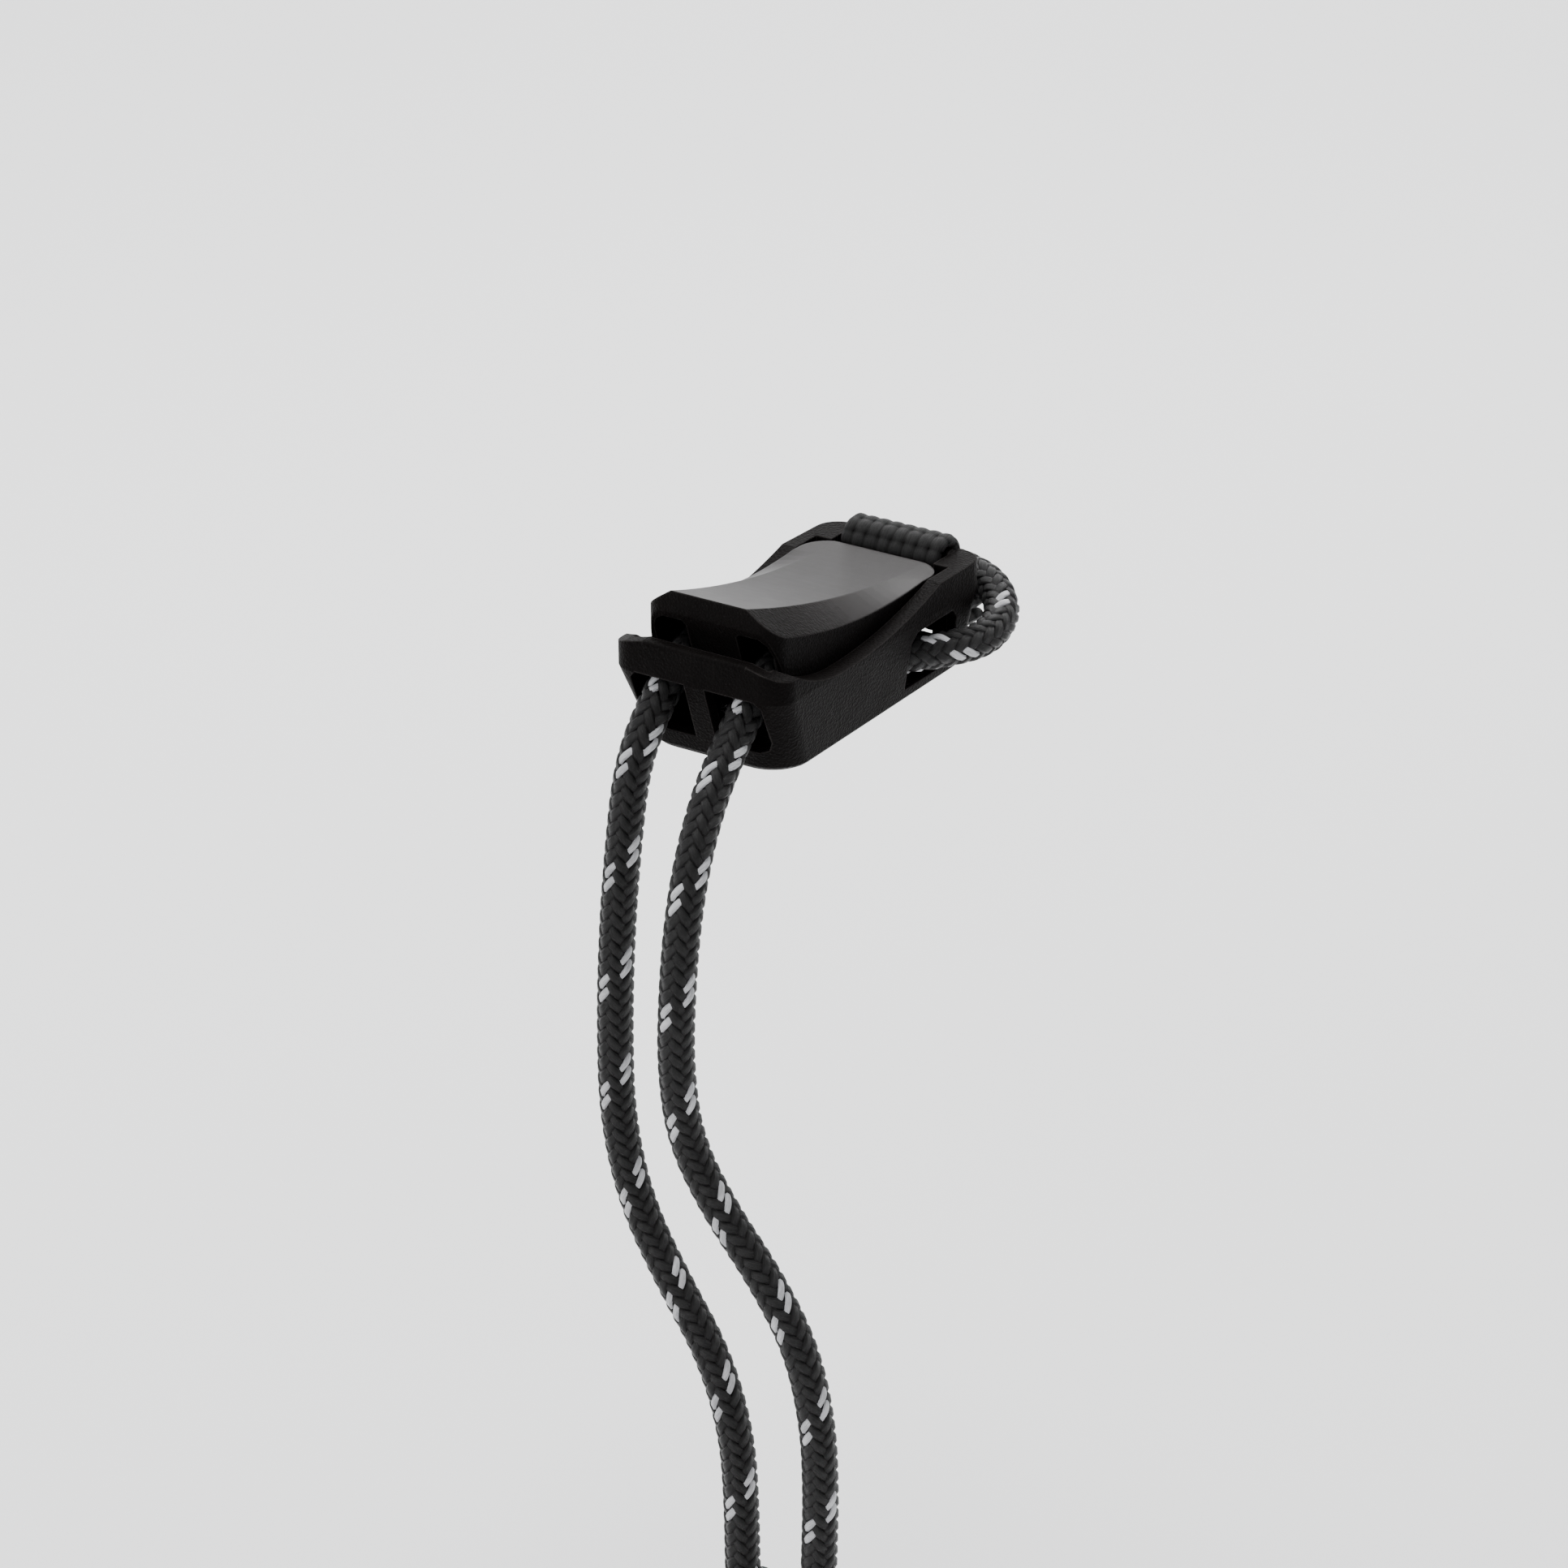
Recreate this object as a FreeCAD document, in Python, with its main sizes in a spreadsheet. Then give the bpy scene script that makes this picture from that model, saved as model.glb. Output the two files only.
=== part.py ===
"""Two-cord lever lock: a moulded tray, a sprung thumb lever, an anchor tape and its drawcord.

Origin: middle of the flat underside.  -Y is the front, where the cord tails leave; +Z is up.
All lengths are in millimetres.  Most places are given by their distance behind the front lip.
"""
import FreeCAD, Part
import math
import os
import Sketcher

# Driving dimensions: alias, value, what it is.
SIZES = [
    ("base_length", 29.8, "tray, front lip to rear end"),
    ("front_width", 15.6, "tray width at the lip"),
    ("rear_width", 14.4, "tray width at the rear end"),
    ("base_height", 9.25, "underside to the top of the lip"),
    ("rear_height", 8.8, "underside to the top of the rear walls"),
    ("rim_low", 6.5, "lowest point of the side rim"),
    ("rim_low_at", 9.0, "that point's distance behind the lip"),
    ("rim_rise_at", 23.0, "where the rim reaches the rear height"),
    ("crown_drop", 1.2, "lip's corners below its middle"),
    ("crown_half", 4.6, "half width of the lip's level middle"),
    ("inside_width", 12.2, "tray between its side walls"),
    ("reach", 30.0, "cuts that go right through"),
    ("lip_depth", 1.0, "front wall, front to back"),
    ("lip_height", 2.7, "lip above the cord openings"),
    ("floor_thickness", 1.1, "tray floor"),
    ("sill_height", 1.8, "cord openings above the underside"),
    ("corner_radius", 2.0, "tray's upright corners at the lip"),
    ("low_radius", 3.0, "tray's upright corners at the underside"),
    ("bottom_chamfer", 0.4, "tray's bottom edge"),
    ("front_setback", 2.1, "underside behind the lip"),
    ("side_inset", 0.9, "underside inside the sides"),
    ("post_width", 1.8, "post between the cord openings"),
    ("opening_width", 5.0, "each cord opening"),
    ("opening_round", 1.1, "its lower outer corner"),
    ("window_front", 18.9, "side window behind the lip"),
    ("window_length", 6.9, "side window, front to back"),
    ("window_top", 5.8, "side window above the underside"),
    ("rear_slot_at", 26.0, "where the tape slot starts"),
    ("lip_round", 0.3, "round on the lip's top edge"),
    ("lever_clearance", 0.13, "lever to each side wall"),
    ("lever_front", 2.0, "lever's front edge behind the lip"),
    ("lever_rear", 25.7, "lever's rear edge behind the lip"),
    ("thumb_high", 12.9, "lever top at its front edge"),
    ("thumb_low", 8.85, "lever top at its rear edge"),
    ("crest_front", 3.35, "half width of the thumb surface, front"),
    ("crest_rear", 4.1, "half width of the thumb surface, rear"),
    ("bevel_height", 1.75, "height of the side bevel, front"),
    ("skirt_bottom", 5.0, "lower edge of the lever's sides, front"),
    ("skirt_rear", 6.4, "lower edge of the lever's sides, rear"),
    ("nose_radius", 1.6, "lever's upright front corners"),
    ("tail_radius", 2.2, "lever's upright rear corners"),
    ("lever_wall", 0.6, "lever's sides"),
    ("roof_front", 1.9, "lever's top, front"),
    ("roof_rear", 1.0, "lever's top, rear"),
    ("lever_nose", 1.0, "lever's front wall"),
    ("tunnel_top", 10.6, "cord tunnels above the underside"),
    ("block_width", 4.5, "centre block that holds the spring"),
    ("grip_top", 5.8, "top of the grip bar's teeth"),
    ("grip_at", 4.8, "grip bar behind the lip"),
    ("pivot_at", 24.2, "pin behind the lip"),
    ("pivot_height", 6.9, "pin above the underside"),
    ("pin_diameter", 1.5, "hinge pin"),
    ("pin_clearance", 0.04, "lever bore around the pin, radial"),
    ("knuckle_radius", 1.75, "lever's hinge knuckle"),
    ("knuckle_clearance", 0.9, "lever's hinge knuckle to each side wall"),
    ("spring_at", 6.75, "spring axis behind the lip"),
    ("spring_diameter", 3.2, "spring, middle of its wire"),
    ("spring_wire", 0.4, "spring wire"),
    ("spring_turns", 6, "whole turns"),
    ("spring_pocket_top", 9.6, "roof of the spring pocket"),
    ("boss_height", 1.1, "spring boss above the floor"),
    ("bar_at", 28.7, "tape bar behind the lip"),
    ("bar_height", 8.1, "tape bar above the underside"),
    ("bar_diameter", 1.8, "tape bar"),
    ("tape_width", 9.2, "anchor tape"),
    ("tape_thickness", 1.1, "anchor tape"),
    ("tape_clearance", 0.1, "tape to the bar and to each side wall"),
    ("tape_tail", 4.2, "tape beyond the rear end"),
    ("cord_diameter", 2.9, "braided cord"),
    ("knot_diameter", 7.0, "stopper knot across"),
    ("knot_height", 6.4, "stopper knot along the cord"),
    ("tip_length", 6.0, "sealed cord end below its knot"),
]

doc = FreeCAD.newDocument("cord_lock")
sheet = doc.addObject("Spreadsheet::Sheet", "sizes")
for row, (alias, amount, meaning) in enumerate(SIZES, start=1):
    sheet.set("A%d" % row, alias)
    sheet.set("B%d" % row, str(amount))
    sheet.set("C%d" % row, meaning)
    sheet.setAlias("B%d" % row, alias)
doc.recompute()

# Expressions that several pieces share.
FRONT = "(-sizes.base_length / 2)"
TAPER = "((sizes.front_width - sizes.rear_width) / 2 / sizes.base_length)"
SLOT_HALF = "(sizes.tape_width / 2 + sizes.tape_clearance)"
OPENING_TOP = "(sizes.base_height - sizes.lip_height)"
PIN_HALF = "(sizes.front_width / 2 - %s * sizes.pivot_at - 0.35)" % TAPER
SPRING_POCKET_RADIUS = "(sizes.spring_diameter / 2 + sizes.spring_wire)"


def behind_lip(distance):
    """Expression for the Y of a point, from the expression for its distance behind the lip."""
    return "(%s + %s)" % (FRONT, distance)


def value(expression):
    """The present number of an expression on the sheet."""
    result = sheet.evalExpression(str(expression))
    return float(getattr(result, "Value", result))


def new_body(name):
    body = doc.addObject("PartDesign::Body", name)
    body.Label = name
    return body


def sketch_on(body, role, name, offset=None):
    """Sketch on one of the body's own origin planes, moved along its normal by an expression."""
    sketch = body.newObject("Sketcher::SketchObject", name)
    plane = [p for p in body.Origin.OriginFeatures if p.Role == role][0]
    sketch.AttachmentSupport = (plane, [""])
    sketch.MapMode = "FlatFace"
    if offset is not None:
        sketch.setExpression("AttachmentOffset.Base.z", offset)
    return sketch


def hold(sketch, geometry, point, across, up):
    """Tie one point of a sketch to two expressions."""
    for kind, expression in (("DistanceX", across), ("DistanceY", up)):
        constraint = Sketcher.Constraint(kind, -1, 1, geometry, point, value(expression))
        index = sketch.addConstraint(constraint)
        sketch.setExpression("Constraints[%d]" % index, str(expression))


def outline(sketch, corners):
    """Closed outline of straight sides; corners are pairs of expressions, across and up."""
    first = sketch.GeometryCount
    places = [FreeCAD.Vector(value(across), value(up), 0) for across, up in corners]
    count = len(corners)
    for n in range(count):
        side = Part.LineSegment(places[n], places[(n + 1) % count])
        sketch.addGeometry(side, False)
    for n in range(count):
        following = first + (n + 1) % count
        sketch.addConstraint(Sketcher.Constraint("Coincident", first + n, 2, following, 1))
        hold(sketch, first + n, 1, *corners[n])
    return sketch


def rounded(sketch, low_half, high_half, low, high, low_radius, high_radius):
    """Rounded outline about the sketch's upright axis, its width at the low end and at the high end."""
    slope = "((%s - %s) / (%s - %s))" % (high_half, low_half, high, low)
    low_side = "(%s + %s * %s)" % (low_half, slope, low_radius)
    high_side = "(%s - %s * %s)" % (high_half, slope, high_radius)
    low_end, high_end = "(%s + %s)" % (low, low_radius), "(%s - %s)" % (high, high_radius)
    ends = [
        ("(%s - %s)" % (low_radius, low_half), low), ("(%s - %s)" % (low_half, low_radius), low),
        (low_side, low_end), (high_side, high_end),
        ("(%s - %s)" % (high_half, high_radius), high), ("(%s - %s)" % (high_radius, high_half), high),
        ("-" + high_side, high_end), ("-" + low_side, low_end),
    ]
    places = [FreeCAD.Vector(value(across), value(up), 0) for across, up in ends]
    first = sketch.GeometryCount
    for n in range(0, 8, 2):
        sketch.addGeometry(Part.LineSegment(places[n], places[n + 1]), False)
    for n, radius in ((1, low_radius), (3, high_radius), (5, high_radius), (7, low_radius)):
        start, end = places[n], places[(n + 1) % 8]
        # Each corner bulges away from the middle of its chord, on the right of the way round.
        chord = end - start
        outward = FreeCAD.Vector(chord.y, -chord.x, 0).normalize()
        bulge = value(radius) * (1 - math.cos(math.pi / 4))
        crown = (start + end) * 0.5 + outward * bulge
        arc = sketch.addGeometry(Part.Arc(start, crown, end), False)
        line = first + n // 2
        following = first + (n // 2 + 1) % 4
        sketch.addConstraint(Sketcher.Constraint("Coincident", line, 2, arc, 1))
        sketch.addConstraint(Sketcher.Constraint("Coincident", following, 1, arc, 2))
        index = sketch.addConstraint(Sketcher.Constraint("Radius", arc, value(radius)))
        sketch.setExpression("Constraints[%d]" % index, radius)
    for n, (across, up) in enumerate(ends):
        hold(sketch, first + n // 2, 1 + n % 2, across, up)
    return sketch


def circle(sketch, across, up, radius):
    """Circle whose centre and radius follow expressions."""
    centre = FreeCAD.Vector(value(across), value(up), 0)
    shape = Part.Circle(centre, FreeCAD.Vector(0, 0, 1), value(radius))
    geometry = sketch.addGeometry(shape, False)
    hold(sketch, geometry, 3, across, up)
    index = sketch.addConstraint(Sketcher.Constraint("Radius", geometry, value(radius)))
    sketch.setExpression("Constraints[%d]" % index, str(radius))
    return sketch


def extrude(body, kind, name, sketch, length, symmetric=False, reverse=False):
    """Pad or Pocket of a sketch; kind is the feature's class."""
    feature = body.newObject("PartDesign::" + kind, name)
    feature.Profile = sketch
    feature.setExpression("Length", str(length))
    if symmetric:
        feature.SideType = "Symmetric"
    feature.Reversed = reverse
    doc.recompute()
    return feature


def loft(body, kind, name, sketches, ruled=False):
    """AdditiveLoft or SubtractiveLoft through sketches in order."""
    feature = body.newObject("PartDesign::" + kind, name)
    feature.Profile = sketches[0]
    feature.Sections = sketches[1:]
    feature.Ruled = ruled
    doc.recompute()
    return feature


def dress(body, kind, name, size, test):
    """Fillet or Chamfer on the edges of the body so far that pass the test."""
    base = body.Tip
    chosen = ["Edge%d" % n for n, edge in enumerate(base.Shape.Edges, start=1) if test(edge)]
    feature = body.newObject("PartDesign::" + kind, name)
    feature.Base = (base, chosen)
    feature.setExpression("Radius" if kind == "Fillet" else "Size", str(size))
    doc.recompute()
    return feature


def along(edge, axis):
    """True for a straight edge that runs mostly along an axis: 0 is X, 1 is Y and 2 is Z."""
    if len(edge.Vertexes) != 2 or not isinstance(edge.Curve, (Part.Line, Part.LineSegment)):
        return False
    run = edge.Vertexes[1].Point - edge.Vertexes[0].Point
    return abs(run[axis]) > 0.85 * run.Length


def middle(edge):
    return edge.valueAt((edge.FirstParameter + edge.LastParameter) / 2)


# ---------------------------------------------------------------------------------------------
# Tray


def tray_outline(body, name, height, setback, inset, radius):
    """Plan of the tray at one height, narrower at the rear."""
    sketch = sketch_on(body, "XY_Plane", name, height)
    return rounded(sketch, "(sizes.front_width / 2 - %s)" % inset, "(sizes.rear_width / 2 - %s)" % inset,
                   behind_lip(setback), "(sizes.base_length / 2)", radius, radius)


def shell(body):
    """Outside of the tray: leaning walls below and an upright lip above."""
    low = tray_outline(body, "underside", "0", "(sizes.front_setback + sizes.bottom_chamfer)",
                       "(sizes.side_inset + sizes.bottom_chamfer)", "sizes.low_radius")
    foot = tray_outline(body, "foot", "sizes.bottom_chamfer", "sizes.front_setback", "sizes.side_inset",
                        "sizes.low_radius")
    high = tray_outline(body, "shoulder", OPENING_TOP, "0", "0", "sizes.corner_radius")
    loft(body, "AdditiveLoft", "lower_walls", [low, foot, high], ruled=True)
    lip = tray_outline(body, "lip_plan", OPENING_TOP, "0", "0", "sizes.corner_radius")
    extrude(body, "Pad", "upper_walls", lip, "sizes.lip_height")


def rim(body):
    """Side rim scooped between the lip and the rear walls, as two arcs that meet level."""
    sketch = sketch_on(body, "YZ_Plane", "rim_profile")
    start = behind_lip("sizes.lip_depth")
    low_at = behind_lip("sizes.rim_low_at")
    rise_at = behind_lip("sizes.rim_rise_at")
    beyond = "(sizes.base_length / 2 + 1)"
    above = "(sizes.base_height + 1)"
    low = FreeCAD.Vector(value(low_at), value("sizes.rim_low"), 0)
    ends = [
        FreeCAD.Vector(value(start), value("sizes.base_height"), 0),
        FreeCAD.Vector(value(rise_at), value("sizes.rear_height"), 0),
    ]
    for end in ends:
        reach = abs(end.x - low.x)
        rise = end.y - low.y
        radius = (reach ** 2 + rise ** 2) / (2 * rise)
        turn = math.asin(reach / radius)
        centre = FreeCAD.Vector(low.x, low.y + radius, 0)
        bottom = -math.pi / 2
        first, last = (bottom - turn, bottom) if end.x < low.x else (bottom, bottom + turn)
        ring = Part.Circle(centre, FreeCAD.Vector(0, 0, 1), radius)
        sketch.addGeometry(Part.ArcOfCircle(ring, first, last), False)
    corners = [
        (rise_at, "sizes.rear_height"), (beyond, "sizes.rear_height"), (beyond, above), (start, above),
        (start, "sizes.base_height"),
    ]
    places = [FreeCAD.Vector(value(across), value(up), 0) for across, up in corners]
    for n in range(4):
        sketch.addGeometry(Part.LineSegment(places[n], places[n + 1]), False)
    links = [(0, 2, 1, 1), (1, 2, 2, 1), (2, 2, 3, 1), (3, 2, 4, 1), (4, 2, 5, 1), (5, 2, 0, 1)]
    for link in links:
        sketch.addConstraint(Sketcher.Constraint("Coincident", *link))
    hold(sketch, 1, 1, low_at, "sizes.rim_low")
    for n, (across, up) in enumerate(corners[:4]):
        hold(sketch, n + 2, 1, across, up)
    hold(sketch, 0, 1, start, "sizes.base_height")
    for arc in (0, 1):
        across = Sketcher.Constraint("DistanceX", -1, 1, arc, 3, low.x)
        index = sketch.addConstraint(across)
        sketch.setExpression("Constraints[%d]" % index, low_at)
    extrude(body, "Pocket", "rim_cut", sketch, "sizes.reach", symmetric=True)


def crown(body):
    """Corners of the lip drop towards the sides."""
    middle_half = "sizes.crown_half"
    side = "(sizes.front_width / 2 + 0.5)"
    knee = "(sizes.crown_half + (sizes.front_width / 2 - sizes.crown_half) * 0.55)"
    top = "sizes.base_height"
    for name, sign in (("left", "-1"), ("right", "1")):
        sketch = sketch_on(body, "XZ_Plane", "crown_%s_outline" % name, "sizes.base_length / 2 + 1")
        outline(sketch, [
            (sign + " * " + middle_half, top),
            (sign + " * " + knee, "(%s - sizes.crown_drop * 0.35)" % top),
            (sign + " * " + side, "(%s - sizes.crown_drop)" % top),
            (sign + " * " + side, "(%s + 1)" % top),
            (sign + " * " + middle_half, "(%s + 1)" % top),
        ])
        extrude(body, "Pocket", "crown_" + name, sketch, "(sizes.corner_radius + 2)")


def hollow(body):
    """The space for the lever and cords, and the narrower slot for the tape behind it."""
    above = "(sizes.base_height + 1)"
    ahead = behind_lip("sizes.lip_depth")
    rear = behind_lip("sizes.rear_slot_at")
    inside = sketch_on(body, "YZ_Plane", "tray_profile")
    outline(inside, [
        (ahead, above), (ahead, OPENING_TOP),
        (behind_lip("sizes.front_setback + sizes.lip_depth"), "sizes.floor_thickness"),
        (rear, "sizes.floor_thickness"), (rear, above),
    ])
    extrude(body, "Pocket", "tray", inside, "sizes.inside_width", symmetric=True)
    slot = sketch_on(body, "YZ_Plane", "slot_profile")
    end = "(sizes.base_length / 2 + 1)"
    before = behind_lip("sizes.rear_slot_at - 0.2")
    outline(slot, [
        (before, above), (before, "sizes.floor_thickness"), (end, "sizes.floor_thickness"), (end, above),
    ])
    extrude(body, "Pocket", "tape_slot", slot, SLOT_HALF + " * 2", symmetric=True)


def cord_openings(body):
    """The two cord openings under the lip, with a post between them."""
    inner = "sizes.post_width / 2"
    outer = "(sizes.post_width / 2 + sizes.opening_width)"
    top_corner = "sizes.opening_round * 0.5"
    for side, sign in (("left", "-1"), ("right", "1")):
        name = "opening_" + side
        sketch = sketch_on(body, "XZ_Plane", name + "_outline", "sizes.base_length / 2")
        outline(sketch, [
            (sign + " * " + inner, "sizes.sill_height"),
            (sign + " * (%s - sizes.opening_round)" % outer, "sizes.sill_height"),
            (sign + " * (%s - sizes.opening_round * 0.3)" % outer,
             "(sizes.sill_height + sizes.opening_round * 0.3)"),
            (sign + " * " + outer, "(sizes.sill_height + sizes.opening_round)"),
            (sign + " * " + outer, "(%s - %s)" % (OPENING_TOP, top_corner)),
            (sign + " * (%s - %s)" % (outer, top_corner), OPENING_TOP),
            (sign + " * " + inner, OPENING_TOP),
        ])
        extrude(body, "Pocket", name, sketch, "(sizes.front_setback + sizes.lip_depth + 1)")


def windows(body):
    """Openings in the side walls where the drawcord comes in."""
    sketch = sketch_on(body, "YZ_Plane", "window_outline")
    front = behind_lip("sizes.window_front")
    rear = behind_lip("sizes.window_front + sizes.window_length")
    outline(sketch, [
        (front, "sizes.floor_thickness"), (rear, "sizes.floor_thickness"),
        (rear, "(sizes.window_top - 0.8)"), (behind_lip("sizes.window_front + sizes.window_length - 0.8"),
                                             "sizes.window_top"),
        (behind_lip("sizes.window_front + 0.8"), "sizes.window_top"), (front, "(sizes.window_top - 0.8)"),
    ])
    extrude(body, "Pocket", "windows", sketch, "sizes.reach", symmetric=True)


def seats(body):
    """Spring boss on the floor, bar for the tape and bores for the hinge pin."""
    boss = sketch_on(body, "XY_Plane", "boss_plan", "sizes.floor_thickness")
    circle(boss, "0", behind_lip("sizes.spring_at"),
           "(sizes.spring_diameter / 2 - sizes.spring_wire / 2 - 0.15)")
    extrude(body, "Pad", "boss", boss, "sizes.boss_height")
    bar = sketch_on(body, "YZ_Plane", "bar_outline")
    circle(bar, behind_lip("sizes.bar_at"), "sizes.bar_height", "sizes.bar_diameter / 2")
    extrude(body, "Pad", "bar", bar, SLOT_HALF + " * 2", symmetric=True)
    bore = sketch_on(body, "YZ_Plane", "bore_outline", PIN_HALF)
    circle(bore, behind_lip("sizes.pivot_at"), "sizes.pivot_height", "sizes.pin_diameter / 2")
    extrude(body, "Pocket", "pin_bores", bore, "sizes.reach")


def softened(body):
    """Small rounds on the moulding's outside edges."""
    high = value("sizes.base_height")
    lip = value(FRONT)
    dress(body, "Fillet", "lip_round", "sizes.lip_round",
          lambda edge: abs(middle(edge).z - high) < 0.01 and middle(edge).y < lip + 0.6)


def base_housing():
    body = new_body("base_housing")
    shell(body)
    rim(body)
    crown(body)
    hollow(body)
    cord_openings(body)
    windows(body)
    seats(body)
    softened(body)
    return body


# ---------------------------------------------------------------------------------------------
# Lever

# Stations along the lever, as shares of its length.
STATIONS = [n / 22 for n in range(23)]
THUMB_CURVE = 1.9
BEVEL_END = 0.9
LEVER_HALF = "(sizes.inside_width / 2 - sizes.lever_clearance)"


def station(share):
    """Expression for a lever station's distance behind the lip."""
    return "(sizes.lever_front + (sizes.lever_rear - sizes.lever_front) * %g)" % share


def thumb_height(share):
    """Expression for the height of the thumb surface: steep at the front, level at the rear."""
    return "(sizes.thumb_low + (sizes.thumb_high - sizes.thumb_low) * %g)" % ((1 - share) ** THUMB_CURVE)


def lever_section(body, name, share):
    """Cross-section of the lever at a share of its length."""
    crest = "(sizes.crest_front + (sizes.crest_rear - sizes.crest_front) * %g)" % share
    roof = thumb_height(share)
    shoulder = "(%s - sizes.bevel_height * %g)" % (roof, max(0.06, 1 - (share / BEVEL_END) ** 2))
    sketch = sketch_on(body, "XZ_Plane", name, "(sizes.base_length / 2 - %s)" % station(share))
    return outline(sketch, [
        ("-" + LEVER_HALF, "sizes.skirt_bottom"), (LEVER_HALF, "sizes.skirt_bottom"),
        (LEVER_HALF, shoulder), (crest, roof), ("-" + crest, roof), ("-" + LEVER_HALF, shoulder),
    ])


def lever_outside(body):
    sections = [lever_section(body, "section_%d" % n, share) for n, share in enumerate(STATIONS)]
    loft(body, "AdditiveLoft", "outside", sections, ruled=True)
    plan = sketch_on(body, "XY_Plane", "plan_rounds")
    front = behind_lip("sizes.lever_front")
    rear = behind_lip("sizes.lever_rear")
    rounded(plan, LEVER_HALF, LEVER_HALF, front, rear, "sizes.nose_radius", "sizes.tail_radius")
    outside = "(%s + 1)" % LEVER_HALF
    outline(plan, [
        ("-" + outside, "(%s - 1)" % front), (outside, "(%s - 1)" % front),
        (outside, "(%s + 1)" % rear), ("-" + outside, "(%s + 1)" % rear),
    ])
    extrude(body, "Pocket", "rounded_corners", plan, "sizes.reach", reverse=True)


def lever_skirt(body):
    """Lower edge of the sides: it steps up behind the spring so that the cords pass under it."""
    step = sketch_on(body, "YZ_Plane", "skirt_profile")
    low = "(sizes.skirt_bottom - 1)"
    rear = behind_lip("sizes.lever_rear + 1")
    outline(step, [
        (behind_lip("sizes.lever_front + 7"), low), (rear, low), (rear, "sizes.skirt_rear"),
        (behind_lip("sizes.lever_front + 12"), "sizes.skirt_rear"),
        (behind_lip("sizes.lever_front + 8"), "sizes.skirt_bottom"),
    ])
    extrude(body, "Pocket", "skirt", step, "sizes.reach", symmetric=True)


def lever_inside(body):
    """Hollow under the roof, from the nose back to the solid hinge end."""
    low = "(sizes.skirt_bottom - 1)"
    nose = "sizes.lever_front + sizes.lever_nose"
    corners = [(behind_lip(nose), low), (behind_lip(nose), "(%s - sizes.roof_front)" % thumb_height(0.03))]
    for share in STATIONS[2:-2:3]:
        thickness = "(sizes.roof_front + (sizes.roof_rear - sizes.roof_front) * %g)" % share
        corners.append((behind_lip(station(share)), "(%s - %s)" % (thumb_height(share), thickness)))
    corners.append((behind_lip(station(share)), low))
    sketch = sketch_on(body, "YZ_Plane", "inside_profile")
    outline(sketch, corners)
    extrude(body, "Pocket", "inside", sketch, "(%s - sizes.lever_wall) * 2" % LEVER_HALF, symmetric=True)


def lever_block(body):
    """Centre block between the cord tunnels, with a leaning front, the spring pocket and grip bar."""
    block = sketch_on(body, "YZ_Plane", "block_profile")
    rear = "sizes.spring_at + %s + 0.4" % SPRING_POCKET_RADIUS
    outline(block, [
        (behind_lip("sizes.lever_front + 0.4"), "sizes.skirt_bottom"),
        (behind_lip(rear), "sizes.skirt_bottom"),
        (behind_lip(rear), "(sizes.thumb_high - 2.7)"),
        (behind_lip("sizes.lever_front + 0.4"), "(sizes.thumb_high - 0.8)"),
    ])
    extrude(body, "Pad", "block", block, "sizes.block_width", symmetric=True)
    bar = sketch_on(body, "YZ_Plane", "grip_profile")
    valley = "(sizes.grip_top - 0.35)"
    teeth = [("sizes.grip_at + %g" % (0.2 * n), valley if n % 2 else "sizes.grip_top") for n in range(5)]
    corners = [(behind_lip(place), height) for place, height in teeth]
    corners += [
        (behind_lip("sizes.grip_at + 0.8"), "sizes.skirt_bottom"),
        (behind_lip("sizes.grip_at"), "sizes.skirt_bottom"),
    ]
    outline(bar, corners)
    width = "(%s - sizes.lever_wall / 2) * 2" % LEVER_HALF
    extrude(body, "Pad", "grip_bar", bar, width, symmetric=True)
    pocket = sketch_on(body, "XY_Plane", "pocket_plan", "sizes.skirt_bottom - 1")
    circle(pocket, "0", behind_lip("sizes.spring_at"), SPRING_POCKET_RADIUS)
    extrude(body, "Pocket", "spring_pocket", pocket, "sizes.spring_pocket_top - sizes.skirt_bottom + 1",
            reverse=True)


def lever_front(body):
    """Cord tunnels through the nose, and the front face leaning back below its top edge."""
    depth = "(sizes.lever_nose + 0.6)"
    inner = "sizes.block_width / 2"
    outer = "(%s - sizes.lever_wall)" % LEVER_HALF
    for side, sign in (("left", "-1"), ("right", "1")):
        sketch = sketch_on(body, "XZ_Plane", "tunnel_%s_outline" % side,
                           "(sizes.base_length / 2 - sizes.lever_front + 0.3)")
        outline(sketch, [
            (sign + " * " + inner, "(sizes.skirt_bottom - 1)"),
            (sign + " * " + outer, "(sizes.skirt_bottom - 1)"),
            (sign + " * " + outer, "(sizes.tunnel_top - 1.3)"),
            (sign + " * (%s - 0.35)" % outer, "(sizes.tunnel_top - 0.45)"),
            (sign + " * (%s - 1.1)" % outer, "sizes.tunnel_top"),
            (sign + " * (%s + 0.3)" % inner, "sizes.tunnel_top"),
            (sign + " * " + inner, "(sizes.tunnel_top - 0.3)"),
        ])
        extrude(body, "Pocket", "tunnel_" + side, sketch, depth)
    lean = sketch_on(body, "YZ_Plane", "lean_profile")
    ahead = behind_lip("sizes.lever_front - 1")
    below = "(sizes.skirt_bottom - 1)"
    outline(lean, [
        (behind_lip("sizes.lever_front - 0.02"), "(sizes.tunnel_top + 0.6)"),
        (ahead, "(sizes.tunnel_top + 0.6)"), (ahead, below),
        (behind_lip("sizes.lever_front + 2.6"), below),
    ])
    extrude(body, "Pocket", "lean", lean, "sizes.reach", symmetric=True)


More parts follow.
